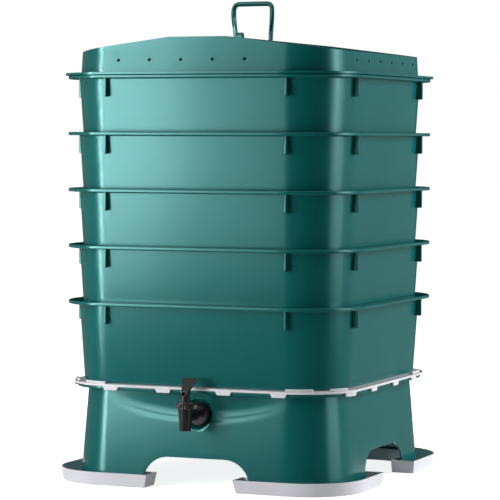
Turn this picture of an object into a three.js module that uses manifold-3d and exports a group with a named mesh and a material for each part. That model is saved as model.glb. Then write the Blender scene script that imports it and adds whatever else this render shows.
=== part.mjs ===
// A stacking wormery: four foot saucers, a legged collector with a tap, a drip screen,
// five nesting trays and a gabled lid with a folding bail handle.
// Millimetres, +Z up, front towards -Y. The origin is under the middle of the whole, on the ground.
import * as THREE from "three";
import { mergeVertices } from "three/addons/utils/BufferGeometryUtils.js";
import Module from "manifold-3d";

const wasm = await Module();
wasm.setup();

// Clearances and the overrun of every cut.
const restGap = 0.3; // between a piece and what it rests on
const runGap = 0.4; // round a pin or stem that turns or slides
const overrun = 5; // how far a cutting shape passes the face that it cuts

// The plan shape of the stack: a square with slightly bowed sides and large round corners.
const rimHalf = 200; // half the width across two opposite tray rims
const rimCornerRadius = 84;
const sideBow = 1; // how far the middle of a side stands out
const sideSteps = 2;
const cornerSteps = 5;

// Collector base. Its legs flare out towards the ground.
const baseHeight = 120.3; // from the leg ends to the top of the flange
const baseTopInset = 25.6; // from the tray rims to the top of its wall
const baseFlare = 10.2;
const baseCornerTuck = 23; // how much tighter its corners are than the rims'
const baseCornerFlare = 9;
const baseWall = 3;
const baseFlangeReach = 14.9;
const baseFlange = 3.6;
const sumpFloor = 3;
const sumpFloorShare = 0.549; // height of the sump floor, as a share of the base's height
const sumpSlopeShare = 0.024; // fall of the sump floor towards the tap
const archHalfShare = 0.393; // half the width of an arch, as a share of half the base's width
const archCorner = 34.5;
const archCornerSteps = 6;
const frontArchShare = 0.293; // height of the front and back arches, of the base's height
const sideArchShare = 0.33;
const panelRecess = 4.4; // from the wall's top edge back to the flat panel round the tap
const panelHalfShare = 0.768; // of half the wall's width
const panelDip = 24; // how far the panel's curved lower edge drops at the middle
const panelDrop = 33.1; // from the top of the flange to the lowest point of that edge
const panelLedgeShare = 1.05; // fall of the ledge below the panel, per unit outwards
const panelSteps = 10;
const tapSeatRadius = 17; // the round flat behind the tap, level with the panel

// Foot saucers: L-shaped water troughs, one under each leg.
const saucerMoat = 16.5; // from the leg's foot to the outer edge
const saucerFlare = 2.5;
const saucerHeight = 16.5;
const saucerCornerRadius = 72;
const saucerTrough = 29.5; // from the outer face to the inner face of one arm
const saucerInnerRadius = 62;
const saucerWall = 2;
const saucerFloor = 2;
const saucerEndShare = 0.306; // where an arm ends, as a share of half the width
const saucerEndSlant = 4;

// Drip screen, white, between the base and the first tray. Places are shares of half its width.
const screenInset = 7.6; // from the tray rims to its edge
const screenPlate = 3.2;
const screenTabDrop = 4.5;
const screenTabThickness = 2.2;
const screenTabWidth = 23;
const screenTabDraw = 3; // how much narrower each tab gets at either end
const screenLipRise = 3;
const screenLipInset = 2.2; // from the screen's edge to the lips
const screenLipThickness = 2.6;
const screenLipDepth = 36; // how deep a lip's ends reach round a corner
const frontTabShares = [-0.587, -0.21, 0.21, 0.587];
const sideTabShares = [-0.705, -0.33, 0.09, 0.466]; // from front to back
const frontLipShares = [[-0.795, -0.63], [0.63, 0.795]];
const sideLipShares = [[-0.84, -0.725], [0.47, 0.63]];

// Working trays.
const trayCount = 5;
const trayNest = 30.8; // how deep one tray stands in the next
const trayHeight = 101.8;
const trayWall = 2.5;
const trayFloor = 2.5;
const trayTaper = 6.7; // how much the wall draws in from rim to floor
const trayRim = 4.2;
const trayRimOverhang = 14;
const finShare = 0.605; // place of the fins under a rim, as a share of half its width
const finHeight = 23;
const finReach = 2.7;
const finThickness = 2.6;
const ledgeSeat = 5; // how much of the next tray's edge a ledge carries
const ledgeThickness = 3;

// Drain holes in the tray floors and the screen.
const drainRadius = 6;
const drainPitchShare = 0.38; // of half the tray rim's width
const drainRows = 4;
const drainSides = 6;

// Lid.
const lidFlange = 2.8;
const lidOverhang = 3.6; // how far its flange passes the tray rims
const lidWallInset = 16.3;
const lidWallDraw = 1.5;
const lidWall = 2.5;
const lidWallRise = 25.4; // from the flange to the top of the side walls
const lidRidgeRise = 18; // from there to the flat ridge
const lidRidgeHalf = 38;
const lidSkirt = 14.5;
const lidSkirtGap = 0.8;
const ventRadius = 2;
const ventRise = 15.2; // from the flange to the vents
const ventPitchShare = 0.2125; // of half the tray rim's width
const ventCount = 6; // in a full row
const frontVentCount = 5; // the front and back rows stop one short at the right
const ventSides = 6;

// Bail handle on the ridge. Its left foot has a pin in a tall ear, its right foot is forked over a tongue.
const handleHalf = 28.8;
const handleFootHalf = 27;
const handleStrap = 5; // its section is square
const handleCorner = 8;
const handleCornerSteps = 4;
const handleReach = 44; // from its hinge to its top
const handleFootDrop = 6.5; // from its hinge to the ends of its feet
const hingeRise = 8; // from the ridge to the hinge
const hingePinRadius = 1.5;
const hingePinLength = 6;
const forkPinRadius = 1.1;
const hingeSides = 12;
const earWidth = 7.4;
const earHalfDepth = 4.2;
const tongueThickness = 1.6;
const earGap = 0.45;

// Tap.
const tapDrop = 30.1; // from the top of the base's flange to the shank's axis
const tapStandoff = 44.6; // from the panel to the barrel's axis
const tapSides = 16;
const spoutDrop = 17; // the barrel's levels are taken from the shank's axis
const barrelRise = 10;
const seatDrop = 4.5;
const spoutFootRadius = 7.05;
const barrelTopRadius = 8.95;
const outletRadius = 4.5;
const chamberRadius = 6.6;
const barrelNeckRadius = 7.7;
const barrelNeckRise = 6.2;
const shankRadius = 8;
const shankBore = 4;
const shankReach = 16; // from the panel's face to the shank's inner end
const tapThroatRadius = 7;
const tapFlangeRadius = 15.4;
const tapFlange = 3.4;
const tapBossRadius = 12;
const tapBoss = 6;
const washerRadius = 13;
const washerThickness = 2;
const nutRadius = 14; // to its corners
const nutSides = 6;
const nutThickness = 7;
const collarRadius = 11.15;
const collarHeight = 7.9;
const collarNeckRadius = 5.85;
const collarNeckHeight = 8;
const stemRadius = 2;
const stemHead = 2.2; // the stem above the lever's pin
const pinRise = 3.8; // from the lever's foot to its pin
const leverPinRadius = 1.2;
const leverPinHalfLength = 4.6;
const leverFootHalfWidth = 5;
const leverFootHalfDepth = 4.4;
const leverNeckHeight = 5;
const leverHeight = 20;
const leverTopHalf = 11.5;
const leverLean = 18; // how far the top leans back towards the wall
const leverTipThickness = 4;
const plugRadius = 6;
const plugDisc = 3;
const plugBossRadius = 3.6;
const plugHeight = 8;
const plugSocket = 4;

// Widths that follow from the sizes above.
const baseTopHalf = rimHalf - baseTopInset;
const baseFootHalf = baseTopHalf + baseFlare;
const baseTopRadius = rimCornerRadius - baseCornerTuck;
const baseFootRadius = baseTopRadius + baseCornerFlare;
const baseFlangeHalf = baseTopHalf + baseFlangeReach;
const panelY = baseTopHalf - panelRecess;
const panelHalfWidth = panelHalfShare * baseTopHalf;
const saucerHalf = baseFootHalf + saucerMoat;
const screenHalf = rimHalf - screenInset;
const trayWallHalf = rimHalf - trayRimOverhang;
const trayFootHalf = trayWallHalf - trayTaper;
const lidFlangeHalf = rimHalf + lidOverhang;
const lidWallFootHalf = rimHalf - lidWallInset;
const lidWallTopHalf = lidWallFootHalf - lidWallDraw;
const tapAxisY = panelY + tapStandoff;
const tapReach = tapAxisY + collarRadius;

// Levels that follow from the sizes above.
const legZ = saucerFloor + restGap;
const baseTopZ = legZ + baseHeight;
const sumpFloorRise = sumpFloorShare * baseHeight;
const tapShankZ = baseTopZ - tapDrop;
const screenZ = baseTopZ + restGap;
const firstTrayZ = screenZ + screenPlate + restGap;
const trayPitch = trayHeight - trayNest;
const topRimZ = firstTrayZ + trayHeight + (trayCount - 1) * trayPitch;
const lidZ = topRimZ + restGap;
const lidWallZ = lidZ + lidFlange;
const lidSideZ = lidWallZ + lidWallRise;
const ridgeZ = lidSideZ + lidRidgeRise;
const hingeZ = ridgeZ + hingeRise;
const spoutFootZ = tapShankZ - spoutDrop;
const seatZ = tapShankZ - seatDrop;
const barrelTopZ = tapShankZ + barrelRise;
const collarZ = barrelTopZ + restGap;
const collarTopZ = collarZ + collarHeight;
const collarNeckZ = collarTopZ + collarNeckHeight;
const leverZ = collarNeckZ + restGap;
const leverPinZ = leverZ + pinRise;

// The finishes seen on the object.
const greenPlastic = { color: 0x2f7d74, roughness: 0.38, metalness: 0 };
const whitePlastic = { color: 0xdedce6, roughness: 0.5, metalness: 0 };
const blackPlastic = { color: 0x1d1b1d, roughness: 0.35, metalness: 0 };
const blackRubber = { color: 0x262626, roughness: 0.85, metalness: 0 };

// A solid for joining and cutting, from a closed geometry.
function solid(geometry) {
  const bare = geometry.clone();
  bare.deleteAttribute("normal");
  bare.deleteAttribute("uv");
  const merged = mergeVertices(bare);
  const index = merged.index.array;
  const kept = [];
  for (let i = 0; i < index.length; i += 3) {
    const corners = [index[i], index[i + 1], index[i + 2]];
    if (new Set(corners).size === corners.length) kept.push(...corners);
  }
  const vertProperties = merged.attributes.position.array;
  const triVerts = new Uint32Array(kept);
  return new wasm.Manifold(new wasm.Mesh({ numProp: 3, vertProperties, triVerts }));
}

function join(bodies) {
  return bodies.reduce((whole, body) => whole.add(body));
}

function piece(name, body, finish) {
  const { vertProperties, triVerts, numProp } = body.getMesh();
  const geometry = new THREE.BufferGeometry();
  geometry.setAttribute("position", new THREE.BufferAttribute(vertProperties, numProp));
  geometry.setIndex(new THREE.BufferAttribute(triVerts, 1));
  geometry.computeVertexNormals();
  const mesh = new THREE.Mesh(geometry, new THREE.MeshStandardMaterial(finish));
  mesh.name = name;
  return mesh;
}

// A skin over rings of equally many points, each anticlockwise seen from above.
// An open run of rings gets a flat cap at both ends; a closed run joins its last ring to its first.
function loft(rings, closed = false) {
  const count = rings[0].length;
  const points = rings.flat();
  const faces = [];
  const spans = closed ? rings.length : rings.length - 1;
  for (let r = 0; r < spans; r += 1) {
    const low = r * count;
    const high = ((r + 1) % rings.length) * count;
    for (let i = 0; i < count; i += 1) {
      const j = (i + 1) % count;
      faces.push(low + i, low + j, high + j, low + i, high + j, high + i);
    }
  }
  const geometry = new THREE.BufferGeometry();
  if (!closed) {
    const last = (rings.length - 1) * count;
    for (const face of THREE.ShapeUtils.triangulateShape(flat(rings[0]), [])) {
      faces.push(...face.toReversed());
    }
    for (const face of THREE.ShapeUtils.triangulateShape(flat(rings[rings.length - 1]), [])) {
      faces.push(...face.map((corner) => last + corner));
    }
  }
  geometry.setFromPoints(points);
  geometry.setIndex(faces);
  return geometry;
}

function flat(ring) {
  return ring.map(({ x, y }) => new THREE.Vector2(x, y));
}

// One level of the plan shape. A side is a shallow parabola, a corner an arc that meets both sides smoothly.
function outline({ half, radius, bow = sideBow, z, slopeShare = 0, steps = sideSteps }) {
  const centre = half - bow - radius;
  const lean = Math.atan2(2 * bow, centre);
  const quarter = [];
  for (let i = 0; i <= steps; i += 1) {
    const along = (2 * i) / steps - 1;
    const normal = new THREE.Vector2((2 * bow * along) / centre, -1).normalize();
    const inner = new THREE.Vector2(along * centre, bow * along * along - bow - centre);
    quarter.push(inner.addScaledVector(normal, radius));
  }
  for (let i = 1; i < cornerSteps; i += 1) {
    const angle = lean - Math.PI / 2 + ((Math.PI / 2 - 2 * lean) * i) / cornerSteps;
    const x = centre + radius * Math.cos(angle);
    quarter.push(new THREE.Vector2(x, radius * Math.sin(angle) - centre));
  }
  const points = [];
  for (let turn = 0; turn < 4; turn += 1) {
    for (const { x, y } of quarter) {
      const [px, py] = [[x, y], [-y, x], [-x, -y], [y, -x]][turn];
      points.push(new THREE.Vector3(px, py, z + slopeShare * py));
    }
  }
  return points;
}

// A level that runs parallel to the tray rims, so its corners share their centres.
function level(half, z) {
  return outline({ half, radius: rimCornerRadius + half - rimHalf, z });
}

function ringOf(corners, z) {
  return corners.map(([x, y]) => new THREE.Vector3(x, y, z));
}

function block(low, high) {
  const size = high.map((value, i) => value - low[i]);
  const geometry = new THREE.BoxGeometry(...size);
  return geometry.translate(...high.map((value, i) => (value + low[i]) / 2));
}

// A prism along Y over an outline drawn in X and Z.
function prismAlongY(points, yLow, yHigh) {
  const shape = new THREE.Shape(points.map(([x, z]) => new THREE.Vector2(x, z)));
  const depth = yHigh - yLow;
  const geometry = new THREE.ExtrudeGeometry(shape, { depth, bevelEnabled: false });
  return geometry.rotateX(Math.PI / 2).translate(0, yHigh, 0);
}

function rodAlongX(radius, xLow, xHigh, z, sides) {
  const geometry = new THREE.CylinderGeometry(radius, radius, xHigh - xLow, sides);
  return geometry.rotateZ(Math.PI / 2).translate((xLow + xHigh) / 2, 0, z);
}

// A body turned about +Y, and one turned about +Z, from points of radius and height.
function turnedAlongY(points, sides) {
  return new THREE.LatheGeometry(points.map(([r, h]) => new THREE.Vector2(r, h)), sides);
}

function turnedAlongZ(points, sides) {
  return turnedAlongY(points, sides).rotateX(Math.PI / 2);
}

// Solids made for the front side, turned to a side: 0 front, 1 right, 2 back, 3 left.
function turned(geometry, side) {
  return solid(geometry.rotateZ((side * Math.PI) / 2));
}

// Copies of a geometry on all four sides, at a place along the side and at its mirror place.
function onFourSides(makeAt, place) {
  return [0, 1, 2, 3].flatMap((side) => [turned(makeAt(-place), side), turned(makeAt(place), side)]);
}

// Copies on the front, and on the back, right and left sides, by shares of half the width.
// The side shares run from front to back on both sides, so the left side takes them mirrored.
function onSidesByShare(makeAt, half, frontShares, sideShares) {
  const places = (shares) => shares.map((share) => [].concat(share).map((one) => one * half));
  const mirrored = places(sideShares).map((place) => place.map((one) => -one).reverse());
  const plan = [places(frontShares), places(sideShares), places(frontShares), mirrored];
  return plan.flatMap((row, side) => row.map((place) => turned(makeAt(...place), side)));
}

function evenPlaces(count, pitch) {
  return Array.from({ length: count }, (_, i) => (i - (count - 1) / 2) * pitch);
}

function drainHoles(zLow, zHigh) {
  const places = evenPlaces(drainRows, drainPitchShare * rimHalf);
  const depth = zHigh - zLow + 2 * overrun;
  const drills = places.flatMap((x) =>
    places.map((y) => {
      const drill = new THREE.CylinderGeometry(drainRadius, drainRadius, depth, drainSides);
      return solid(drill.rotateX(Math.PI / 2).translate(x, y, (zLow + zHigh) / 2));
    }),
  );
  return join(drills);
}

// The quarter of the plan that one saucer takes, drawn in by an inset at its two ends.
function saucerQuarter(inset) {
  const far = saucerHalf + saucerFlare + overrun;
  const ring = (near, z) => ringOf([[near, -far], [far, -far], [far, -near], [near, -near]], z);
  const end = saucerEndShare * saucerHalf + inset;
  const topEnd = end - saucerEndSlant;
  return solid(
    loft([ring(end, -overrun), ring(end, 0), ring(topEnd, saucerHeight),
      ring(topEnd, saucerHeight + overrun)]),
  );
}

function saucer() {
  const straight = { bow: 0, steps: 1 };
  const outer = (inset, z) => {
    const half = saucerHalf + (saucerFlare * z) / saucerHeight - inset;
    return outline({ ...straight, half, radius: saucerCornerRadius - inset, z });
  };
  const inner = (inset, z) => {
    const half = saucerHalf - saucerTrough + inset;
    return outline({ ...straight, half, radius: saucerInnerRadius + inset, z });
  };
  const body = loft([outer(0, 0), outer(0, saucerHeight), inner(0, saucerHeight), inner(0, 0)], true);
  const rimZ = saucerHeight + overrun;
  const trough = loft(
    [outer(saucerWall, saucerFloor), outer(saucerWall, rimZ), inner(saucerWall, rimZ),
      inner(saucerWall, saucerFloor)],
    true,
  );
  const hollow = solid(trough).intersect(saucerQuarter(saucerWall));
  return solid(body).intersect(saucerQuarter(0)).subtract(hollow);
}

// A level of the base's flared wall, by its height above the leg ends, drawn in by an inset.
function baseLevel(rise, inset, slopeShare = 0) {
  const share = rise / baseHeight;
  const half = THREE.MathUtils.lerp(baseFootHalf, baseTopHalf, share) - inset;
  const radius = THREE.MathUtils.lerp(baseFootRadius, baseTopRadius, share) - inset;
  return outline({ half, radius, z: legZ + rise, slopeShare });
}

// The space in front of the flat panel: above a dipping curve that a slanted ledge leads down from.
function panelSpace(panelFace, drop, topZ) {
  const radius = (panelHalfWidth ** 2 + panelDip ** 2) / (2 * panelDip);
  const far = baseFootHalf + overrun;
  const ring = (depth) => {
    const footZ = baseTopZ - panelDrop - drop - panelLedgeShare * (depth - panelFace);
    const points = [];
    for (let i = 0; i <= panelSteps; i += 1) {
      const x = panelHalfWidth * ((2 * i) / panelSteps - 1);
      points.push([x, footZ + radius - Math.sqrt(radius ** 2 - x ** 2)]);
    }
    points.push([panelHalfWidth, topZ], [-panelHalfWidth, topZ]);
    return ringOf(points, depth);
  };
  return solid(loft([ring(panelFace), ring(far)]).rotateX(Math.PI / 2));
}

// A round drill along Y at the height of the tap's shank.
function tapDrill(radius, yLow, yHigh) {
  const drill = turnedAlongY([[0, yLow], [radius, yLow], [radius, yHigh], [0, yHigh]], tapSides);
  return solid(drill.translate(0, 0, tapShankZ));
}

function archSpace(heightShare) {
  const halfWidth = archHalfShare * baseFootHalf;
  const centreZ = legZ + heightShare * baseHeight - archCorner;
  const right = [[halfWidth, -overrun]];
  for (let i = 0; i <= archCornerSteps; i += 1) {
    const angle = (Math.PI / 2) * (i / archCornerSteps);
    const x = halfWidth - archCorner + archCorner * Math.cos(angle);
    right.push([x, centreZ + archCorner * Math.sin(angle)]);
  }
  const left = right.map(([x, z]) => [-x, z]).reverse();
  const far = baseFootHalf + overrun;
  return prismAlongY([...right, ...left], -far, far);
}

function collectorBase() {
  const flangeZ = baseTopZ - baseFlange;
  const shell = solid(loft([baseLevel(0, 0), baseLevel(baseHeight, 0)]));
  const flange = solid(loft([level(baseFlangeHalf, flangeZ), level(baseFlangeHalf, baseTopZ)]));
  const sump = solid(
    loft([baseLevel(sumpFloorRise, baseWall, sumpSlopeShare), baseLevel(baseHeight, baseWall),
      baseLevel(baseHeight + overrun, baseWall)]),
  );
  const under = solid(
    loft([baseLevel(-overrun, baseWall), baseLevel(0, baseWall),
      baseLevel(sumpFloorRise - sumpFloor, baseWall, sumpSlopeShare)]),
  );
  const front = -baseFootHalf - overrun;
  const recess = panelSpace(panelY, 0, flangeZ).add(tapDrill(tapSeatRadius, front, -panelY));
  const back = panelSpace(panelY - baseWall, 2 * baseWall, baseTopZ + 2 * overrun)
    .add(tapDrill(tapSeatRadius + baseWall, front, baseWall - panelY));
  return shell
    .subtract(recess)
    .add(flange)
    .subtract(sump.subtract(back))
    .subtract(under)
    .subtract(solid(archSpace(frontArchShare)))
    .subtract(turned(archSpace(sideArchShare), 1))
    .subtract(tapDrill(shankRadius + runGap, front, overrun - panelY));
}

// A fence that runs round the screen parallel to its edge.
function screenFence(outerHalf, thickness, low, high) {
  const innerHalf = outerHalf - thickness;
  return solid(
    loft([level(outerHalf, low), level(outerHalf, high), level(innerHalf, high),
      level(innerHalf, low)], true),
  );
}

function screenTabs() {
  const [low, high] = [screenZ - screenTabDrop, screenZ + screenPlate / 2];
  const window = (place) => {
    const ring = (halfWidth, z) => {
      const [left, right] = [place - halfWidth, place + halfWidth];
      const [near, far] = [-screenHalf - overrun, screenLipDepth - screenHalf];
      return ringOf([[left, near], [right, near], [right, far], [left, far]], z);
    };
    return loft([ring(screenTabWidth / 2 - screenTabDraw, low), ring(screenTabWidth / 2, high)]);
  };
  const windows = onSidesByShare(window, screenHalf, frontTabShares, sideTabShares);
  return screenFence(screenHalf, screenTabThickness, low, high).intersect(join(windows));
}

function screenLips() {
  const [low, high] = [screenZ + screenPlate / 2, screenZ + screenPlate + screenLipRise];
  const window = (near, far) =>
    block([near, -screenHalf, low - overrun], [far, screenLipDepth - screenHalf, high + overrun]);
  const windows = onSidesByShare(window, screenHalf, frontLipShares, sideLipShares);
  return screenFence(screenHalf - screenLipInset, screenLipThickness, low, high)
    .intersect(join(windows));
}

function dripScreen() {
  const top = screenZ + screenPlate;
  const plate = solid(loft([level(screenHalf, screenZ), level(screenHalf, top)]));
  return join([plate, screenTabs(), screenLips()]).subtract(drainHoles(screenZ, top));
}

// Half the width across a tray's wall, outside, at a height above the tray's foot.
function trayHalfAt(rise) {
  return trayFootHalf + (trayTaper * rise) / trayHeight;
}

function trayFin(place) {
  const [high, low] = [trayHeight - trayRim / 2, trayHeight - trayRim - finHeight];
  const root = sideBow + trayWall / 2;
  const tip = trayWallHalf + finReach;
  const side = [[trayHalfAt(low) - root, low], [tip, low], [tip, high], [trayHalfAt(high) - root, high]];
  return finPlate(side, place, finThickness);
}

function trayLedge(place) {
  const [high, low] = [trayPitch - restGap, trayFloor / 2];
  const root = sideBow + trayWall / 2;
  const seat = trayFootHalf - ledgeSeat;
  const side = [[seat, low], [trayHalfAt(low) - root, low], [trayHalfAt(high) - root, high], [seat, high]];
  return finPlate(side, place, ledgeThickness);
}

// An upright plate on the front side, from an outline of distances to the middle and heights.
function finPlate(side, place, thickness) {
  const ring = (x) => side.map(([reach, z]) => new THREE.Vector3(reach, z, x));
  const plate = loft([ring(-thickness / 2), ring(thickness / 2)]);
  return plate.rotateX(Math.PI / 2).rotateZ(-Math.PI / 2).translate(place, 0, 0);
}

// A tray, standing on its floor at height zero.
function workingTray() {
  const rimFoot = trayHeight - trayRim;
  const shell = solid(
    loft([level(trayFootHalf, 0), level(trayHalfAt(rimFoot), rimFoot), level(rimHalf, rimFoot),
      level(rimHalf, trayHeight), level(trayWallHalf - trayWall, trayHeight),
      level(trayHalfAt(trayFloor) - trayWall, trayFloor)]),
  );
  const fins = onFourSides(trayFin, finShare * rimHalf);
  const ledges = onFourSides(trayLedge, finShare * rimHalf);
  return join([shell, ...fins, ...ledges]).subtract(drainHoles(0, trayFloor));
}

// The space under the lid's gable, from far below up to the roof, lowered by a given drop.
function gableSpace(drop) {
  const far = lidFlangeHalf + overrun;
  const slope = lidRidgeRise / (lidWallTopHalf - lidRidgeHalf);
  const [ridge, eaves] = [ridgeZ - drop, ridgeZ - drop - slope * (far - lidRidgeHalf)];
  const foot = lidZ - lidSkirt - 2 * overrun;
  const roof = [[-far, foot], [far, foot], [far, eaves], [lidRidgeHalf, ridge], [-lidRidgeHalf, ridge],
    [-far, eaves]];
  return solid(prismAlongY(roof, -far, far));
}

// An upright ear with a round top at the hinge, and its hole.
function hingeEar(xLow, xHigh, halfDepth) {
  const round = rodAlongX(halfDepth, xLow, xHigh, hingeZ, hingeSides);
  const foot = block([xLow, -halfDepth, ridgeZ - lidWall / 2], [xHigh, halfDepth, hingeZ]);
  return solid(round).add(solid(foot));
}

function earHole(xLow, xHigh, radius) {
  return solid(rodAlongX(radius + runGap, xLow - overrun, xHigh + overrun, hingeZ, hingeSides));
}

function handleEars() {
  const earNear = handleStrap + earGap - handleFootHalf;
  const earFar = earNear + earWidth;
  const ear = hingeEar(earNear, earFar, earHalfDepth).subtract(earHole(earNear, earFar, hingePinRadius));
  const middle = handleFootHalf - handleStrap / 2;
  const [low, high] = [middle - tongueThickness / 2, middle + tongueThickness / 2];
  const tongue = hingeEar(low, high, handleStrap / 2).subtract(earHole(low, high, forkPinRadius));
  return ear.add(tongue);
}

function lidVents() {
  const reach = lidWallFootHalf + overrun;
  const z = lidWallZ + ventRise;
  const rods = evenPlaces(ventCount, ventPitchShare * rimHalf).map((place) =>
    rodAlongX(ventRadius, -reach, reach, z, ventSides).translate(0, place, 0),
  );
  const frontRods = rods.slice(ventCount - frontVentCount).map((rod) => turned(rod.clone(), 1));
  return join([...rods.map((rod) => solid(rod)), ...frontRods]);
}

function lid() {
  const skirtZ = lidZ - lidSkirt;
  const skirtHalf = (z) => trayHalfAt(trayHeight - (topRimZ - z)) - trayWall - lidSkirtGap;
  const skirtTop = skirtHalf(topRimZ);
  const outside = loft([level(skirtHalf(skirtZ), skirtZ), level(skirtTop, lidZ),
    level(lidFlangeHalf, lidZ), level(lidFlangeHalf, lidWallZ), level(lidWallFootHalf, lidWallZ),
    level(lidWallTopHalf, lidSideZ), level(lidWallTopHalf, ridgeZ + overrun)]);
  const inside = loft([level(skirtHalf(skirtZ) - lidWall, skirtZ - overrun),
    level(skirtTop - lidWall, lidZ), level(lidWallTopHalf - lidWall, lidSideZ),
    level(lidWallTopHalf - lidWall, ridgeZ + overrun)]);
  const shell = solid(outside)
    .intersect(gableSpace(0))
    .subtract(solid(inside).intersect(gableSpace(lidWall)));
  return shell.add(handleEars()).subtract(lidVents());
}

// The right half of the bail's outline, from its foot over a round corner to the top.
function bailOutline(inset) {
  const [half, corner] = [handleHalf - inset, handleCorner - inset];
  const [top, foot] = [hingeZ + handleReach - inset, hingeZ - handleFootDrop];
  const points = [[handleFootHalf - inset, foot]];
  for (let i = 0; i <= handleCornerSteps; i += 1) {
    const angle = (Math.PI / 2) * (i / handleCornerSteps);
    points.push([half - corner + corner * Math.cos(angle), top - corner + corner * Math.sin(angle)]);
  }
  return points;
}

function lidHandle() {
  const mirrored = (points) => points.map(([x, z]) => [-x, z]).reverse();
  const [outer, inner] = [bailOutline(0), bailOutline(handleStrap)];
  const band = [...outer, ...mirrored(outer), ...mirrored(inner).reverse(), ...inner.reverse()];
  const strap = solid(prismAlongY(band, -handleStrap / 2, handleStrap / 2));
  const root = handleFootHalf - handleStrap / 2;
  const pin = rodAlongX(hingePinRadius, -root, handleStrap + hingePinLength - handleFootHalf, hingeZ,
    hingeSides);
  const slotHalf = tongueThickness / 2 + earGap;
  const slotTop = hingeZ + handleStrap / 2 + earGap;
  const slot = block([root - slotHalf, -handleStrap, ridgeZ], [root + slotHalf, handleStrap, slotTop]);
  const bridgeHalf = (slotHalf + handleStrap / 2) / 2;
  const bridge = rodAlongX(forkPinRadius, root - bridgeHalf, root + bridgeHalf, hingeZ, hingeSides);
  return strap.subtract(solid(slot)).add(solid(pin)).add(solid(bridge));
}

// The tap's pieces are built round the barrel's axis, with the panel's face at this distance behind it.
const panelFromAxis = tapStandoff;

function tapBody() {
  const neckZ = barrelTopZ + barrelNeckRise;
  const barrel = solid(turnedAlongZ([[0, spoutFootZ], [spoutFootRadius, spoutFootZ],
    [barrelTopRadius, barrelTopZ], [barrelNeckRadius, barrelTopZ], [barrelNeckRadius, neckZ],
    [0, neckZ]], tapSides));
  const flangeBack = panelFromAxis - washerThickness - 2 * restGap;
  const flangeFront = flangeBack - tapFlange;
  const shankEnd = panelFromAxis + shankReach;
  const shank = solid(turnedAlongY([[0, 0], [tapThroatRadius, 0],
    [tapThroatRadius, flangeFront - tapBoss], [tapBossRadius, flangeFront],
    [tapFlangeRadius, flangeFront], [tapFlangeRadius, flangeBack], [shankRadius, flangeBack],
    [shankRadius, shankEnd], [0, shankEnd]], tapSides).translate(0, 0, tapShankZ));
  const chamber = solid(turnedAlongZ([[0, spoutFootZ - overrun], [outletRadius, spoutFootZ - overrun],
    [outletRadius, seatZ], [chamberRadius, seatZ], [chamberRadius, neckZ + overrun],
    [0, neckZ + overrun]], tapSides));
  return barrel.add(shank).subtract(chamber).subtract(tapDrill(shankBore, 0, shankEnd + overrun));
}

function tapRing(outerRadius, from, thickness) {
  const bore = shankRadius + restGap;
  return solid(turnedAlongY([[bore, from], [outerRadius, from], [outerRadius, from + thickness],
    [bore, from + thickness], [bore, from]], tapSides).translate(0, 0, tapShankZ));
}

function tapLockNut() {
  const hexagon = Array.from({ length: nutSides }, (_, i) => {
    const angle = (2 * Math.PI * i) / nutSides;
    return [nutRadius * Math.cos(angle), tapShankZ + nutRadius * Math.sin(angle)];
  });
  const from = panelFromAxis + baseWall + washerThickness + 2 * restGap;
  const to = from + nutThickness;
  return solid(prismAlongY(hexagon, from, to))
    .subtract(tapDrill(shankRadius + restGap, from - overrun, to + overrun));
}

function tapCollar() {
  const [plateZ, skirtBore] = [barrelTopZ + barrelNeckRise + restGap, barrelNeckRadius + restGap];
  const stemBore = stemRadius + runGap;
  return solid(turnedAlongZ([[skirtBore, collarZ], [collarRadius, collarZ],
    [collarRadius, collarTopZ], [collarNeckRadius, collarTopZ], [collarNeckRadius, collarNeckZ],
    [stemBore, collarNeckZ], [stemBore, plateZ], [skirtBore, plateZ], [skirtBore, collarZ]], tapSides));
}

function tapSeatPlug() {
  const foot = seatZ + restGap;
  const socket = stemRadius + restGap;
  return solid(turnedAlongZ([[0, foot], [plugRadius, foot], [plugRadius, foot + plugDisc],
    [plugBossRadius, foot + plugDisc], [plugBossRadius, foot + plugHeight],
    [socket, foot + plugHeight], [socket, foot + plugSocket], [0, foot + plugSocket]], tapSides));
}

function tapStem() {
  const foot = seatZ + 2 * restGap + plugSocket;
  const head = leverPinZ + stemHead;
  const rod = solid(turnedAlongZ([[0, foot], [stemRadius, foot], [stemRadius, head], [0, head]],
    tapSides));
  const eye = rodAlongX(leverPinRadius + restGap, -overrun, overrun, leverPinZ, hingeSides);
  return rod.subtract(solid(eye));
}

function tapLever() {
  const ring = (halfWidth, yLow, yHigh, z) =>
    ringOf([[-halfWidth, yLow], [halfWidth, yLow], [halfWidth, yHigh], [-halfWidth, yHigh]], z);
  const [halfWidth, halfDepth] = [leverFootHalfWidth, leverFootHalfDepth];
  const fan = solid(loft([ring(halfWidth, -halfDepth, halfDepth, leverZ),
    ring(halfWidth, -halfDepth, halfDepth, leverZ + leverNeckHeight),
    ring(leverTopHalf, leverLean - leverTipThickness, leverLean, leverZ + leverHeight)]));
  const slot = stemRadius + runGap;
  const sweep = Math.hypot(stemRadius, stemHead) + runGap;
  const foot = block([-slot, -halfDepth - overrun, leverZ - overrun], [slot, slot, leverPinZ]);
  const head = block([-slot, -sweep, leverPinZ - sweep], [slot, sweep, leverPinZ + sweep]);
  const eyeHalf = halfWidth + overrun;
  const eye = rodAlongX(leverPinRadius + runGap, -eyeHalf, eyeHalf, leverPinZ, hingeSides);
  return fan.subtract(solid(foot)).subtract(solid(head)).subtract(solid(eye));
}

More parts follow.
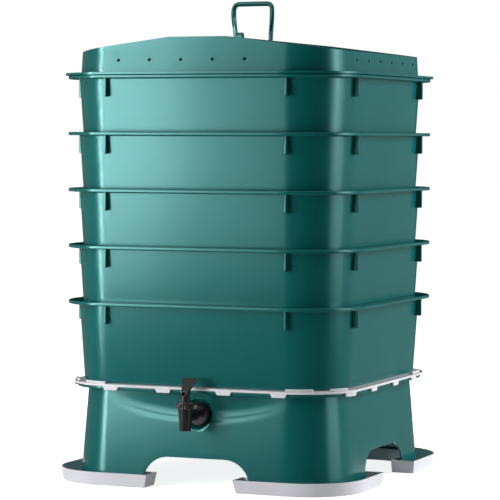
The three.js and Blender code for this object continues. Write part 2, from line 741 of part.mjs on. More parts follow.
function tapGroup() {
  const group = new THREE.Group();
  const pin = rodAlongX(leverPinRadius, -leverPinHalfLength, leverPinHalfLength, leverPinZ, hingeSides);
  const outerWasher = tapRing(washerRadius, panelFromAxis - washerThickness - restGap, washerThickness);
  const innerWasher = tapRing(washerRadius, panelFromAxis + baseWall + restGap, washerThickness);
  group.add(
    piece("tap_body", tapBody(), blackPlastic),
    piece("tap_collar", tapCollar(), blackPlastic),
    piece("tap_lever", tapLever(), blackPlastic),
    piece("tap_lever_pin", solid(pin), blackPlastic),
    piece("tap_stem", tapStem(), blackPlastic),
    piece("tap_seat_plug", tapSeatPlug(), blackRubber),
    piece("tap_outer_washer", outerWasher, blackRubber),
    piece("tap_inner_washer", innerWasher, blackRubber),
    piece("tap_lock_nut", tapLockNut(), blackPlastic),
  );
  group.position.y = -tapAxisY;
  return group;
}

const wormery = new THREE.Group();

const saucerNames = ["front_right", "back_right", "back_left", "front_left"];
const saucerBody = saucer();
saucerNames.forEach((corner, side) => {
  const mesh = piece(`foot_saucer_${corner}`, saucerBody, whitePlastic);
  mesh.rotation.z = (side * Math.PI) / 2;
  wormery.add(mesh);
});

wormery.add(piece("collector_base", collectorBase(), greenPlastic));
wormery.add(tapGroup());
wormery.add(piece("drip_screen", dripScreen(), whitePlastic));

const trayBody = workingTray();
for (let i = 0; i < trayCount; i += 1) {
  const mesh = piece(`working_tray_${i + 1}`, trayBody, greenPlastic);
  mesh.position.z = firstTrayZ + i * trayPitch;
  wormery.add(mesh);
}

wormery.add(piece("lid", lid(), greenPlastic));
wormery.add(piece("lid_handle", lidHandle(), greenPlastic));

// The tap reaches further forward than the lid's flange, so the whole is moved back to centre it.
wormery.position.y = (tapReach - lidFlangeHalf) / 2;

export default wormery;
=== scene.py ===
# %% [markdown]
# A stacking wormery, dressed in Blender around its fixed frame. It is a tower of square
# plastic trays with round corners: a legged collector with a tap, a white drip screen,
# five trays, a gabled lid and four water saucers. The imported model gives every place and
# size, so the first cell loads it and keeps its parts, whose boxes give the sizes.

import math

import bmesh
import bpy
from mathutils import Matrix, Vector


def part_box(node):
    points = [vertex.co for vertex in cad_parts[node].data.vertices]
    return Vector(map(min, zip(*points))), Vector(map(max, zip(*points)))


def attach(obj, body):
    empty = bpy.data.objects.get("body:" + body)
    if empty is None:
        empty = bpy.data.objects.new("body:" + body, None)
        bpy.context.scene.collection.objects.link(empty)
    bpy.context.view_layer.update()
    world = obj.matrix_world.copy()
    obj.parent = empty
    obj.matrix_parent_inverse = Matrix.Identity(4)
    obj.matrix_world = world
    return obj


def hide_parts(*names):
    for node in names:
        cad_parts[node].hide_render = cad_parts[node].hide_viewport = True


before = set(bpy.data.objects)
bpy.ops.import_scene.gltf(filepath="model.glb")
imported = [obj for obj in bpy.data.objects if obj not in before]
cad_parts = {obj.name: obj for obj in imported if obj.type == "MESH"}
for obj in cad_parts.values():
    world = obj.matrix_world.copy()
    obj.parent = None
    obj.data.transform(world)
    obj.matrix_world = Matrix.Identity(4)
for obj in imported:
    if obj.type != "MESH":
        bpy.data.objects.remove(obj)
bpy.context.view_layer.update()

# %% [markdown]
# The pieces are modelled in millimetres, as a maker's drawing would give them, round the
# upright line through the middle of the stack. One matrix turns them into metres and sets
# that line where the frame has it. The boxes of the frame's nodes give the levels.

# %% Units and levels
MM = 0.001
tray_low, tray_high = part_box("working_tray_1")
stack_y = (tray_low.y + tray_high.y) / 2
TO_FRAME = Matrix.Translation((0, stack_y, 0)) @ Matrix.Scale(MM, 4)


def level(node, end):
    """The lowest or highest level of a node, in millimetres."""
    low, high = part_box(node)
    return (low.z if end == "low" else high.z) / MM


def half_width(node):
    """Half the width of a node along X, in millimetres."""
    low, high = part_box(node)
    return (high.x - low.x) / 2 / MM


RIM_HALF = half_width("working_tray_1")
print("rim half", round(RIM_HALF, 2), "stack middle y", round(stack_y, 5))

# %% [markdown]
# The camera comes first, because every later choice is judged through it. It stands to
# the right of the tap's side at an angle of about 22 degrees, a little above the middle
# of the stack, and far away behind a long lens, so that upright edges stay upright.

# %% Camera
CAMERA_PLACE = Vector((1.24014, -2.998615, 0.433645))
CAMERA_YAW = 0.391863
CAMERA_PITCH = -0.044517
CAMERA_ROLL = 0.0030266
camera_data = bpy.data.cameras.new("camera")
camera_data.lens = 180.44
camera_data.sensor_width = 36.0
camera_data.clip_end = 50.0
camera = bpy.data.objects.new("camera", camera_data)
bpy.context.scene.collection.objects.link(camera)
turn = Matrix.Rotation(CAMERA_YAW, 4, "Z") @ Matrix.Rotation(math.pi / 2 + CAMERA_PITCH, 4, "X")
camera.matrix_world = Matrix.Translation(CAMERA_PLACE) @ turn @ Matrix.Rotation(CAMERA_ROLL, 4, "Z")
bpy.context.scene.camera = camera
bpy.context.scene.view_settings.view_transform = "Standard"
print("camera stands", round((CAMERA_PLACE.xy).length, 2), "m from the stack")

# %% [markdown]
# Small helpers for nodes keep the finishes short to read. Each finish is a Principled
# shader whose colour, roughness and bump come from noise on Object coordinates, so that
# the pattern stays on the piece from every side.

# %% Node helpers
def new_material(name):
    """A material with its Principled shader, and the tree that it sits in."""
    material = bpy.data.materials.new(name)
    material.use_nodes = True
    tree = material.node_tree
    return material, tree, tree.nodes["Principled BSDF"]


def set_inputs(tree, node, inputs):
    """Sets a node's inputs to values, or links them from the outputs of other nodes."""
    for name, value in inputs.items():
        if isinstance(value, bpy.types.NodeSocket):
            tree.links.new(value, node.inputs[name])
        else:
            node.inputs[name].default_value = value


def add_node(tree, kind, inputs):
    """A new node of a kind with its inputs set."""
    node = tree.nodes.new("ShaderNode" + kind)
    set_inputs(tree, node, inputs)
    return node


def noise(tree, scale, detail=2.0, stretch=(1, 1, 1)):
    """Noise on Object coordinates, at a scale per metre."""
    places = add_node(tree, "TexCoord", {}).outputs["Object"]
    mapping = add_node(tree, "Mapping", {"Vector": places, "Scale": stretch})
    inputs = {"Vector": mapping.outputs["Vector"], "Scale": scale, "Detail": detail}
    return add_node(tree, "TexNoise", inputs).outputs["Fac"]


def ramp(tree, value, places, colours):
    """A colour ramp over a value, with a colour at each place."""
    node = add_node(tree, "ValToRGB", {"Fac": value})
    elements = node.color_ramp.elements
    while len(elements) < len(places):
        elements.new(0.5)
    for element, place, colour in zip(elements, places, colours):
        element.position = place
        element.color = (*colour, 1)
    return node.outputs["Color"]


def spread(tree, value, start, end, low, high):
    """A value that runs from start to end, mapped to the range from low to high."""
    inputs = {"Value": value, "From Min": start, "From Max": end, "To Min": low, "To Max": high}
    return add_node(tree, "MapRange", inputs)


def bump(tree, height, distance, strength, under=None):
    """A bump over a height, on top of another bump if one is given."""
    inputs = {"Height": height, "Distance": distance, "Strength": strength}
    if under is not None:
        inputs["Normal"] = under
    return add_node(tree, "Bump", inputs).outputs["Normal"]


def roughness(tree, grain, low, high):
    """A roughness that follows a noise between two values."""
    return spread(tree, grain, 0.3, 0.7, low, high).outputs["Result"]


# %% [markdown]
# Nearly everything is injection moulded plastic. The sea-green trays are satin: the tool
# leaves a very fine grain, the wall has slow sink waves that you only see in a highlight,
# and the pigment flows a little unevenly. Three noises at three scales give those, and a
# fourth varies the roughness.

# %% Moulded plastics
def moulded(name, tones, rough, grain, gloss=0.5, sheen=(1, 1, 1)):
    """A moulded plastic from three tones, a roughness range, a depth of grain and a gloss."""
    material, tree, shader = new_material(name)
    flow = noise(tree, 9.0, 3.0, (1, 1, 0.45))
    waves = bump(tree, noise(tree, 6.0, 1.0), 0.0004, 0.06)
    set_inputs(tree, shader, {
        "Base Color": ramp(tree, flow, (0.32, 0.5, 0.68), tones),
        "Roughness": roughness(tree, noise(tree, 34.0, 4.0), *rough),
        "Normal": bump(tree, noise(tree, 1500.0, 2.0), 0.00004, grain, waves),
        "Specular IOR Level": gloss,
        "Specular Tint": (*sheen, 1),
    })
    return material


green = moulded(
    "green_plastic",
    [(0.002, 0.087, 0.082), (0.0025, 0.091, 0.086), (0.003, 0.095, 0.090)],
    (0.225, 0.245), 0.09, 0.8, (0.46, 1.0, 0.98),
)
white = moulded(
    "white_plastic",
    [(0.56, 0.56, 0.60), (0.58, 0.58, 0.62), (0.60, 0.60, 0.64)],
    (0.44, 0.52), 0.2,
)
black = moulded(
    "black_plastic",
    [(0.011, 0.010, 0.011), (0.014, 0.012, 0.013), (0.018, 0.016, 0.017)],
    (0.26, 0.36), 0.35,
)
print("plastics", green.name, white.name, black.name)

# %% [markdown]
# The washers and the plug in the tap are soft black rubber. Rubber scatters light over
# its whole face, so it is rough all over, with a coarser grain and a pale bloom of dust.

# %% Rubber
rubber, rubber_tree, rubber_shader = new_material("black_rubber")
bloom = noise(rubber_tree, 220.0, 5.0)
dust = ramp(rubber_tree, bloom, (0.35, 0.7), [(0.012, 0.012, 0.012), (0.032, 0.031, 0.030)])
set_inputs(rubber_tree, rubber_shader, {
    "Base Color": dust,
    "Roughness": roughness(rubber_tree, bloom, 0.72, 0.9),
    "Normal": bump(rubber_tree, noise(rubber_tree, 900.0, 3.0), 0.0001, 0.5),
})
print("rubber", rubber.name)

# %% [markdown]
# A piece is finished in the same way each time: its sharp edges are rounded as a moulding
# tool would round them, its faces are smoothed with the broad ones leading, and it is set
# in the frame, on its body and in place of its node.

# %% Finishing a piece
SHARP = math.radians(35)


def soften(bm, width, segments=2, angle=40):
    """Rounds every edge that is sharper than an angle."""
    limit = math.radians(angle)
    sharp = [e for e in bm.edges if len(e.link_faces) == 2 and e.calc_face_angle(0) > limit]
    bmesh.ops.bevel(bm, geom=sharp, offset=width, affect="EDGES", segments=segments,
                    profile=0.5, material=-1, clamp_overlap=True)


def link_mesh(bm, name):
    """The mesh as an object in the scene."""
    mesh = bpy.data.meshes.new(name)
    bm.to_mesh(mesh)
    bm.free()
    obj = bpy.data.objects.new(name, mesh)
    bpy.context.scene.collection.objects.link(obj)
    return obj


def dress(bm, name, material, body, *nodes):
    """Sets a mesh in the frame with its finish, its body and the nodes that it stands for."""
    bmesh.ops.transform(bm, matrix=TO_FRAME, verts=bm.verts)
    for face in bm.faces:
        face.smooth = True
    for edge in bm.edges:
        if len(edge.link_faces) == 2:
            edge.smooth = edge.calc_face_angle(0) < SHARP
    obj = link_mesh(bm, name)
    obj.data.materials.append(material)
    obj.modifiers.new("even_normals", "WEIGHTED_NORMAL").keep_sharp = True
    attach(obj, body)
    if nodes:
        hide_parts(*nodes)
    print(obj.name, len(obj.data.polygons), "faces")


# %% [markdown]
# Most pieces are walls that run round the stack, so one tool makes them. A circle of
# vertices is laid out over the plan, and each new ring is an extrusion of the last one,
# moved to its own reach and level. Every vertex remembers its station on the plan, which
# lets a ring bend out, in or up at each station without any list of faces.

# %% Rings
def ring_edges(ring):
    """The edges that join the vertices of one ring."""
    members = set(ring)
    return [e for e in {e for v in ring for e in v.link_edges} if set(e.verts) <= members]


def verts_in(geom):
    """The vertices in geometry of all kinds."""
    return [part for part in geom if isinstance(part, bmesh.types.BMVert)]


def thicken(bm, faces):
    """The faces extruded once. The new vertices still lie on the old ones."""
    return verts_in(bmesh.ops.extrude_face_region(bm, geom=faces, use_keep_orig=True)["geom"])


def ring_skin(count, places):
    """A skin through rings, given as one function of the station for each ring."""
    bm = bmesh.new()
    station = bm.verts.layers.int.new("station")
    rings = [bmesh.ops.create_circle(bm, segments=count, radius=1.0)["verts"]]
    for number, vert in enumerate(rings[0]):
        vert[station] = number
    for step, place in enumerate(places):
        if step:
            edges = ring_edges(rings[-1])
            rings.append(verts_in(bmesh.ops.extrude_edge_only(bm, edges=edges)["geom"]))
        for vert in rings[-1]:
            vert.co = place(vert[station])
    return bm, rings


def outward(bm):
    """Merges doubles and turns the faces of a closed mesh outwards."""
    bmesh.ops.remove_doubles(bm, verts=bm.verts, dist=0.001)
    bmesh.ops.recalc_face_normals(bm, faces=bm.faces)


def closed_skin(count, places):
    """A skin through rings with one flat face over each end."""
    bm, rings = ring_skin(count, places)
    for ring in (rings[0], rings[-1]):
        bmesh.ops.edgeloop_fill(bm, edges=ring_edges(ring))
    outward(bm)
    return bm


def looped_skin(count, places):
    """A skin through rings with a strip from the last ring to the first."""
    bm, rings = ring_skin(count, places)
    bmesh.ops.bridge_loops(bm, edges=ring_edges(rings[-1]) + ring_edges(rings[0]))
    outward(bm)
    return bm


# %% [markdown]
# The plan of the stack is a square with round corners and sides that stand out by one
# millimetre. A station is a point on an inner square, the way out from it, and the share
# of the bow that it gets. A wall that is parallel to the rim only changes its reach.

# %% The plan of the stack
SIDE_BOW = 1.0
CORE_HALF = 115.0
CORNER_TURNS = 14


def plan_stations(core, side_places):
    """Stations round the plan, anticlockwise from the front side's left end."""
    quarter = [(Vector((x, -core)), Vector((0, -1)), 1 - (x / core) ** 2) for x in side_places]
    for i in range(1, CORNER_TURNS):
        angle = math.pi / 2 * i / CORNER_TURNS
        quarter.append((Vector((core, -core)), Vector((math.sin(angle), -math.cos(angle))), 0.0))
    stations = []
    for side in range(4):
        spin = Matrix.Rotation(side * math.pi / 2, 2)
        stations += [(spin @ place, spin @ out, share) for place, out, share in quarter]
    return stations


def on_plan(station, core, half, z):
    """The point at a station of a plan with a half width and a level."""
    start, out, share = station
    point = start + out * (half - core - SIDE_BOW * (1 - share))
    return Vector((point.x, point.y, z))


SIDES = [CORE_HALF * share / 6 for share in range(-6, 7)]
PLAN = plan_stations(CORE_HALF, SIDES)


def wall_ring(half, z):
    return lambda n: on_plan(PLAN[n], CORE_HALF, half, z)


print("stations", len(PLAN))

# %% [markdown]
# Flat parts with an outline of their own, such as fins, ears and tabs, start as one face
# over a few vertices, which is extruded to its thickness. The face is drawn in X and Z
# and made thick along Y, and a turn then sets it where it belongs.

# %% Plates
def plate(bm, outline, low, high, turn=None):
    """A flat part over an outline in X and Z, from one Y to another."""
    made = bmesh.ops.create_circle(bm, cap_ends=True, segments=len(outline), radius=1.0)["verts"]
    for vert, (x, z) in zip(made, outline):
        vert.co = (x, low, z)
    face = next(iter(set.intersection(*(set(v.link_faces) for v in made))))
    new = thicken(bm, [face])
    bmesh.ops.translate(bm, verts=new, vec=(0, high - low, 0))
    if turn is not None:
        bmesh.ops.transform(bm, matrix=turn, verts=made + new)


def side_turn(side):
    """The turn from the front to a side: 0 front, 1 right, 2 back, 3 left."""
    return Matrix.Rotation(side * math.pi / 2, 4, "Z")


def arc(cx, cz, radius, start, end, steps):
    """Points on an arc, in degrees."""
    angles = [math.radians(start + (end - start) * i / steps) for i in range(steps + 1)]
    return [(cx + radius * math.cos(a), cz + radius * math.sin(a)) for a in angles]


# %% [markdown]
# The floors of the trays and the drip screen are sieves. One cell is a round hole in a
# small square, two circles joined by a bridge. The cell is copied into a row, the row
# into a field, and the field is bridged to the outline of the plate and made thick.

# %% Sieve plates
HOLE_RADIUS = 3.2
HOLE_PITCH = 12.0


def sieve(half, z, thickness, count):
    """A plate over the plan with a square field of round holes."""
    bm = bmesh.new()
    hole = bmesh.ops.create_circle(bm, segments=8, radius=HOLE_RADIUS)["verts"]
    rim = bmesh.ops.create_circle(bm, segments=8, radius=1.0)["verts"]
    for vert in rim:
        vert.co *= HOLE_PITCH / 2 / max(abs(vert.co.x), abs(vert.co.y))
    bmesh.ops.bridge_loops(bm, edges=ring_edges(hole) + ring_edges(rim))
    first = -(count - 1) * HOLE_PITCH / 2
    bmesh.ops.translate(bm, verts=bm.verts, vec=(first, first, 0))
    for direction in (Vector((HOLE_PITCH, 0, 0)), Vector((0, HOLE_PITCH, 0))):
        unit = bm.verts[:] + bm.edges[:] + bm.faces[:]
        for i in range(1, count):
            copy = bmesh.ops.duplicate(bm, geom=unit)["geom"]
            bmesh.ops.translate(bm, verts=verts_in(copy), vec=direction * i)
        bmesh.ops.remove_doubles(bm, verts=bm.verts, dist=0.01)
    edge = count * HOLE_PITCH / 2 - 0.01
    border = [e for e in bm.edges if len(e.link_faces) == 1
              and all(max(abs(v.co.x), abs(v.co.y)) > edge for v in e.verts)]
    outline = bmesh.ops.create_circle(bm, segments=len(PLAN), radius=1.0)["verts"]
    for number, vert in enumerate(outline):
        vert.co = wall_ring(half, 0)(number)
    bmesh.ops.bridge_loops(bm, edges=border + ring_edges(outline))
    bmesh.ops.translate(bm, verts=bm.verts, vec=(0, 0, z))
    bmesh.ops.translate(bm, verts=thicken(bm, bm.faces[:]), vec=(0, 0, thickness))
    outward(bm)
    return bm


def add_into(bm, part):
    """Puts the mesh of a part into another mesh."""
    mesh = bpy.data.meshes.new("part")
    part.to_mesh(mesh)
    part.free()
    bm.from_mesh(mesh)
    bpy.data.meshes.remove(mesh)


# %% [markdown]
# A working tray is a tapered box with a flat rim that stands out all round, so that the
# next tray hangs inside it. Its wall is one skin of rings. Eight thin fins stiffen the
# rim from below, and eight ledges inside carry the tray above.

# %% The working tray
TRAY_WALL = 2.5
TRAY_HEIGHT = level("working_tray_1", "high") - level("working_tray_1", "low")
TRAY_TOP = RIM_HALF - 14.0
TRAY_FOOT = TRAY_TOP - 6.7
RIM_THICK = 4.2
TRAY_PITCH = level("working_tray_2", "low") - level("working_tray_1", "low")
FIN_PLACE = 121.0
FIN_REACH = 4.8
FIN_HEIGHT = 23.0
FIN_THICK = 2.6
LEDGE_REACH = 5.0
LEDGE_THICK = 3.0
LEDGE_CORNER = 0.8


def tray_reach(z):
    """Half the width of the tray's wall at a height above its foot."""
    return TRAY_FOOT + (TRAY_TOP - TRAY_FOOT) * z / TRAY_HEIGHT


def tray_shell():
    rim_foot = TRAY_HEIGHT - RIM_THICK
    profile = [
        (TRAY_FOOT - TRAY_WALL, 0), (TRAY_FOOT, 0), (tray_reach(rim_foot), rim_foot),
        (RIM_HALF, rim_foot), (RIM_HALF, TRAY_HEIGHT), (TRAY_TOP - TRAY_WALL, TRAY_HEIGHT),
    ]
    bm = looped_skin(len(PLAN), [wall_ring(half, z) for half, z in profile])
    soften(bm, 1.1, 3)
    return bm


def rib(bm, outline, thick, place, side):
    """A plate across the wall, from an outline of reach and height, at a place on a side."""
    turn = side_turn(side) @ Matrix.Translation((place, 0, 0)) @ side_turn(-1)
    plate(bm, outline, -thick / 2, thick / 2, turn)


def tray_fin(bm, place, side):
    """A fin under the rim, rooted 2 mm deep in the wall and 1 mm in the rim."""
    top, low = TRAY_HEIGHT - RIM_THICK + 1, TRAY_HEIGHT - RIM_THICK - FIN_HEIGHT
    tip = TRAY_TOP + FIN_REACH
    outline = [(tray_reach(low) - 2, low), (tip - 1, low), (tip, low + 1), (tip, top),
               (tray_reach(top) - 2, top)]
    rib(bm, outline, FIN_THICK, place, side)


def tray_ledge(bm, place, side):
    """A ledge inside the tray, up to the floor of the next one, rooted in wall and floor."""
    top, seat = TRAY_PITCH - 0.3, TRAY_FOOT - LEDGE_REACH
    outline = [(seat, 1), (tray_reach(1) - 1.5, 1), (tray_reach(top) - 1.5, top),
               (seat + LEDGE_CORNER, top), (seat, top - LEDGE_CORNER)]
    rib(bm, outline, LEDGE_THICK, place, side)


def working_tray():
    bm = tray_shell()
    ribs = bmesh.new()
    for side in range(4):
        for place in (-FIN_PLACE, FIN_PLACE):
            tray_fin(ribs, place, side)
            tray_ledge(ribs, place, side)
    outward(ribs)
    soften(ribs, 0.35, 1)
    add_into(bm, ribs)
    add_into(bm, sieve(TRAY_FOOT - TRAY_WALL / 2, 0.0, TRAY_WALL, 24))
    return bm


tray_mesh = working_tray()
for i in range(1, 6):
    node = f"working_tray_{i}"
    copy = tray_mesh.copy()
    bmesh.ops.translate(copy, verts=copy.verts, vec=(0, 0, level(node, "low")))
    dress(copy, f"tray_{i}", green, f"tray_{i}", node)
tray_mesh.free()

# %% [markdown]
# The drip screen is a thin white sieve that lies on the collector. Short tabs hang over
# the collector's flange, and low lips near the corners keep the first tray in place. Each
# tab and lip follows the edge of the plate, so it is a small grid laid along the plan. Their
# places are for the front and the right side, a lip's with half its width.

# %% The drip screen
SCREEN_HALF = half_width("drip_screen")
SCREEN_LOW = level("drip_screen", "low")
PLATE_LOW = SCREEN_LOW + 4.5
PLATE_THICK = 3.2
PLATE_TOP = PLATE_LOW + PLATE_THICK
PLATE_EDGE = 4.0
TAB_PLACES = {0: (-113, -40.5, 40.5, 113), 1: (-135.6, -63.5, 17.3, 89.7)}
TAB_HALVES = (8.5, 11.5)
TAB_THICK = 2.2
LIPS = {0: ((-137, 16), (137, 16)), 1: ((-150.6, 11), (105.8, 15.4))}
LIP_RISE = 3.0
LIP_THICK = 2.6


def rim_point(x, half):
    """The point of a wall ring on the front side at an X, also round the corner."""
    if abs(x) <= CORE_HALF:
        return Vector((x, -(half - SIDE_BOW * (x / CORE_HALF) ** 2), 0))
    radius = half - SIDE_BOW - CORE_HALF
    sine = (abs(x) - CORE_HALF) / radius
    return Vector((x, -CORE_HALF - radius * math.sqrt(1 - sine * sine), 0))


def rim_strip(bm, centre, halves, levels, reach, thickness, side):
    """A strip along the plan's edge, with a half width and a level at its foot and its top."""
    made = bmesh.ops.create_grid(bm, x_segments=6, y_segments=1, size=1.0)["verts"]
    for vert in made:
        share = (vert.co.y + 1) / 2
        x = centre + vert.co.x * (halves[0] + (halves[1] - halves[0]) * share)
        z = levels[0] + (levels[1] - levels[0]) * share
        vert.co = rim_point(x, reach) + Vector((0, 0, z))
    new = thicken(bm, list({f for v in made for f in v.link_faces}))
    for vert in new:
        inner = rim_point(vert.co.x, reach - thickness)
        vert.co = (inner.x, inner.y, vert.co.z)
    bmesh.ops.transform(bm, matrix=side_turn(side), verts=made + new)


def drip_screen():
    bm = sieve(SCREEN_HALF - 0.8, PLATE_LOW, PLATE_THICK, 26)
    inner = SCREEN_HALF - PLATE_EDGE
    profile = [(inner, PLATE_LOW), (SCREEN_HALF, PLATE_LOW), (SCREEN_HALF, PLATE_TOP), (inner, PLATE_TOP)]
    edge = looped_skin(len(PLAN), [wall_ring(half, z) for half, z in profile])
    soften(edge, 0.9, 3)
    add_into(bm, edge)
    trims = bmesh.new()
    for side in range(4):
        mirrored = -1 if side == 3 else 1
        for place in TAB_PLACES[side % 2]:
            rim_strip(trims, mirrored * place, TAB_HALVES, (SCREEN_LOW, PLATE_LOW + 1.5),
                      SCREEN_HALF, TAB_THICK, side)
        for place, half in LIPS[side % 2]:
            rim_strip(trims, mirrored * place, (half, half), (PLATE_TOP - 1.5, PLATE_TOP + LIP_RISE),
                      SCREEN_HALF - TAB_THICK, LIP_THICK, side)
    outward(trims)
    soften(trims, 0.5, 2)
    add_into(bm, trims)
    return bm


dress(drip_screen(), "screen", white, "screen", "drip_screen")

# %% [markdown]
# The collector stands on four legs that flare out. An arch between each two legs is not
# cut out here: the lowest ring simply rises over it, station by station, and the stations
# are packed closely where the arch turns. The front also has a shallow recess for the tap
# with a smile-shaped lower edge, which the rings follow as well.

# %% Sizes of the collector
BASE_LOW = level("collector_base", "low")
BASE_TOP = level("collector_base", "high")
BASE_HEIGHT = BASE_TOP - BASE_LOW
BASE_CORE = 113.0
BASE_TOP_HALF = 174.4
BASE_FOOT_HALF = 184.6
BASE_WALL = 3.0
FLANGE_HALF = half_width("collector_base")
FLANGE_LOW = BASE_TOP - 3.6
ARCH_HALF = 72.5
ARCH_CORNER = 34.5
ARCH_TOPS = (37.55, 42.0, 37.55, 42.0)
PANEL_REACH = 170.0
PANEL_FOOT = BASE_TOP - 37.6
SMILE_RADIUS = 387.0
SMILE_HALF = 134.0
SCOOP_RISE = 12.5
SCOOP_POWER = 1.9
SCOOP_FADE = 65.0
GROOVE_HALF = 4.2
GROOVE_DEPTH = 0.85
GROOVE_FADE = (50.0, 120.0)
TAP_Z = BASE_TOP - 30.1
TAP_BORE = 8.3
SEAT_RADIUS = 16.6
DISH_RADIUS = 19.0
SUMP_TOP = BASE_LOW + 66.0
SUMP_THICK = 3.0
SEAT_STATIONS = [0, 3.5, 7, 10, 12.5, 14.5, 15.8, 16.6, 17.4, 18.2, 19, 20, 22, 26, 31]

arch_places = [x for x, _ in arc(ARCH_HALF - ARCH_CORNER, 0, ARCH_CORNER, 0, 90, 12)]
beyond = [77, 84, 92, 100, 107, BASE_CORE]
right_half = sorted(set(SEAT_STATIONS + [round(x, 3) for x in arch_places] + beyond))
BASE_SIDES = [-x for x in reversed(right_half) if x > 0] + right_half
BASE_PLAN = plan_stations(BASE_CORE, BASE_SIDES)
PER_QUARTER = len(BASE_PLAN) // 4
print("stations of the collector", len(BASE_PLAN))


# %% [markdown]
# These functions give the collector's wall at any place: how far it reaches, where an
# arch lifts its foot, and how deep the recess is. The recess is an upright face that is
# flush with the wall under the flange. The wall flares, so the face sinks deeper on its
# way down, and it curves out again to the smile, where a soft groove runs. Both fade out
# to the ends of the smile. A round dish seats the tap.

# %% The collector's wall
def smooth(low, high, value):
    """A smooth step from 0 at low to 1 at high."""
    t = min(max((value - low) / (high - low), 0), 1)
    return t * t * (3 - 2 * t)


def side_place(number):
    """The side that a station of the collector is on, and its X along that side, if any."""
    side, index = divmod(number, PER_QUARTER)
    return side, BASE_SIDES[index] if index < len(BASE_SIDES) else None


def foot_level(number):
    """The level of the wall's lower edge: the ground end of a leg, or the arch above it."""
    side, x = side_place(number)
    if x is None or abs(x) >= ARCH_HALF:
        return BASE_LOW
    over = max(abs(x) - (ARCH_HALF - ARCH_CORNER), 0)
    return ARCH_TOPS[side] - ARCH_CORNER + math.sqrt(max(ARCH_CORNER ** 2 - over ** 2, 0))


def smile_level(number):
    """The level of the lip at the foot of the recess, spread flat past its ends."""
    side, x = side_place(number)
    reach = SMILE_HALF if side or x is None else min(abs(x), SMILE_HALF)
    return PANEL_FOOT + SMILE_RADIUS - math.sqrt(SMILE_RADIUS ** 2 - reach ** 2)


def flare(z):
    """How far the plain wall reaches out at a level."""
    return BASE_FOOT_HALF + (BASE_TOP_HALF - BASE_FOOT_HALF) * (z - BASE_LOW) / BASE_HEIGHT


def wall_reach(number, z):
    """How far the wall reaches out at a level, with the recess taken off at the front."""
    side, x = side_place(number)
    if side or x is None:
        return flare(z)
    crease = smile_level(number)
    reach = flare(z)
    if z > crease:
        curve = max(1 - (z - crease) / SCOOP_RISE, 0) ** SCOOP_POWER
        face = flare(FLANGE_LOW) + (flare(crease) - flare(FLANGE_LOW)) * curve
        reach -= max(reach - face, 0) * (1 - smooth(SCOOP_FADE, SMILE_HALF, abs(x)))
    groove = max(1 - ((z - crease) / GROOVE_HALF) ** 2, 0) ** 2
    reach -= GROOVE_DEPTH * groove * (1 - smooth(*GROOVE_FADE, abs(x)))
    dish = 1 - smooth(SEAT_RADIUS, DISH_RADIUS, math.hypot(x, z - TAP_Z))
    return reach - (reach - PANEL_REACH) * dish


def wall_at(level_of, inset=0.0):
    """A ring of the collector's wall at a level for each station, drawn in by an inset."""

    def place(number):
        z = level_of(number)
        return on_plan(BASE_PLAN[number], BASE_CORE, wall_reach(number, z) - inset, z)

    return place


# %% [markdown]
# The collector, the lid, the tap and the handle have bores and slots. A Boolean modifier
# cuts them: the drills are one mesh, the result is read back as plain mesh, and the drills
# are thrown away.

# %% Drilling
def rod(bm, radius, start, end, sides=16):
    """A capped rod between two points."""
    start, end = Vector(start), Vector(end)
    axis = end - start
    turn = axis.to_track_quat("Z", "Y").to_matrix().to_4x4()
    place = Matrix.Translation((start + end) / 2) @ turn
    bmesh.ops.create_cone(bm, cap_ends=True, segments=sides, radius1=radius, radius2=radius,
                          depth=axis.length, matrix=place)


def drill(bm, tools):
    """The mesh with the tools cut away, as a new mesh in millimetres."""
    work, tool = link_mesh(bm, "work"), link_mesh(tools, "tools")
    cut = work.modifiers.new("cut", "BOOLEAN")
    cut.object = tool
    cut.solver = "EXACT"
    bpy.context.view_layer.update()
    result = bmesh.new()
    result.from_object(work, bpy.context.evaluated_depsgraph_get())
    for obj in (work, tool):
        mesh = obj.data
        bpy.data.objects.remove(obj)
        bpy.data.meshes.remove(mesh)
    return result


def bored(bm, radius, start, end, sides=16):
    """The mesh with a round hole through it between two points."""
    hole = bmesh.new()
    rod(hole, radius, start, end, sides)
    return drill(bm, hole)


# %% [markdown]
# The rings run from under the sump floor down inside the legs, round their ends, up the
# outside over the smile, round the flange and down inside to the sump floor. Two faces
# close the skin, and the collector is one hollow body with a wall of even thickness.

# %% The collector's body
LOWER_SHARES = (0.2, 0.36, 0.46, 0.53, 0.55, 0.57, 0.59, 0.61, 0.63, 0.66, 0.7, 0.74, 0.78, 0.82,
                0.86, 0.9, 0.94, 0.97, 0.99, 1)
UPPER_SHARES = (0.03, 0.06, 0.1, 0.14, 0.19, 0.24, 0.3, 0.37, 0.44, 0.51, 0.58, 0.63, 0.66, 0.69,
                0.72, 0.75, 0.82, 0.91, 1)


def rows(low, high, shares):
    """Rows of levels that lie at shares of the way from a low one to a high one."""
    return [lambda n, s=share: low(n) + (high(n) - low(n)) * s for share in shares]


def flat_ring(half, z):
    return lambda n: on_plan(BASE_PLAN[n], BASE_CORE, half, z)


